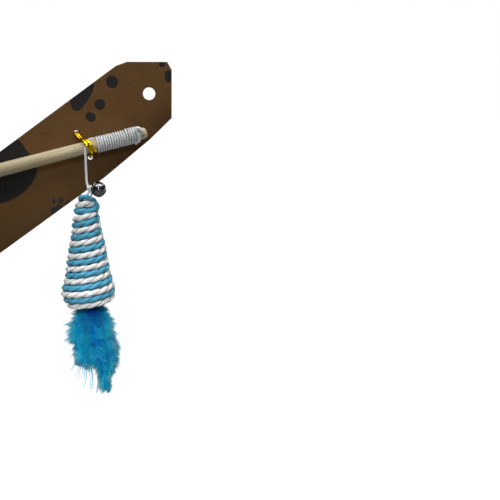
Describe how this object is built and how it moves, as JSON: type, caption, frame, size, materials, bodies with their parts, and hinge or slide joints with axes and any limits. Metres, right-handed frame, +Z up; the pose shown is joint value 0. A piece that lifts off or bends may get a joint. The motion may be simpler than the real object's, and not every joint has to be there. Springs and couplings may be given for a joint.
{
  "type": "cat teaser wand",
  "caption": "Cat teaser wand: a wooden stick with an elastic cord, a jingle bell and a paper rope cone with feathers, tied to a kraft hang card.",
  "frame": {"origin": "the middle of the hand grip, on the wooden stick's axis 60 mm from its butt", "axes": "+X right along the longest extent, +Z up, and -Y out of the card's printed front; the stick rises to the right at 14.5 degrees in the XZ plane"},
  "size_m": [0.4024, 0.033, 0.2035],
  "materials": {
    "wood": "bare sanded wood with fine grain",
    "elastic_cord": "smooth braided elastic cord",
    "kraft_card": "brown kraft board with printed paws",
    "gold_foil": "crinkled gold foil over wire",
    "bell_metal": "polished nickel plate",
    "pellet_steel": "bare steel ball",
    "rolled_card": "rolled grey card",
    "plug_board": "pressed board",
    "blue_paper_rope": "twisted paper rope",
    "white_paper_rope": "twisted paper rope",
    "glue": "hot melt glue",
    "quill": "dyed quill",
    "blue_down": "dyed marabou down"
  },
  "bodies": {
    "stick": {"wooden_stick": "wood", "cord_winding": "elastic_cord", "tip_knot": "elastic_cord"},
    "card": {"backing_card": "kraft_card", "twist_tie": "gold_foil", "tie_twist": "gold_foil"},
    "cord_bend": {"cord_bend": "elastic_cord"},
    "cord": {"hanging_cord": "elastic_cord", "hang_knot": "elastic_cord", "toy_cord": "elastic_cord", "anchor_knot": "elastic_cord"},
    "bell": {"bell_cap": "bell_metal", "bell_cup": "bell_metal", "bell_eyelet": "bell_metal"},
    "pellet": {"bell_pellet": "pellet_steel"},
    "toy": {"cone_core": "rolled_card", "base_plug": "plug_board", "blue_rope": "blue_paper_rope", "white_rope": "white_paper_rope", "glue_bead": "glue"},
    "feathers": {"quill_left": "quill", "quill_middle": "quill", "quill_right": "quill", "plume_left": "blue_down", "plume_middle": "blue_down", "plume_right": "blue_down"}
  },
  "joints": [
    {"name": "card_swivel", "type": "hinge", "parent": "stick", "child": "card", "pos_m": [0.29044, 0, 0.07511], "axis": [0, 1, 0], "range_deg": [-8, 22]},
    {"name": "cord_swing", "type": "hinge", "parent": "stick", "child": "cord_bend", "pos_m": [0.29124, -0.0048, 0.07531], "axis": [0, 1, 0], "range_deg": [-20, 12]},
    {"name": "cord_tilt", "type": "hinge", "parent": "cord_bend", "child": "cord", "pos_m": [0.29124, -0.0048, 0.07531], "axis": [1, 0, 0], "range_deg": [-80, 5]},
    {"name": "toy_spin", "type": "hinge", "parent": "cord", "child": "toy", "pos_m": [0.29074, -0.005, 0.04511], "axis": [0, 0, 1], "range_deg": [-180, 180]},
    {"name": "bell_swing", "type": "hinge", "parent": "cord", "child": "bell", "pos_m": [0.29434, -0.005, 0.04981], "axis": [0, 1, 0], "range_deg": [-30, 29]},
    {"name": "pellet_roll", "type": "hinge", "parent": "bell", "child": "pellet", "pos_m": [0.2994, -0.00828, 0.05088], "axis": [0, 1, 0], "continuous": true},
    {"name": "feather_sway", "type": "hinge", "parent": "toy", "child": "feathers", "pos_m": [0.29074, -0.005, -0.01314], "axis": [0, 1, 0], "range_deg": [-8, 8]}
  ]
}
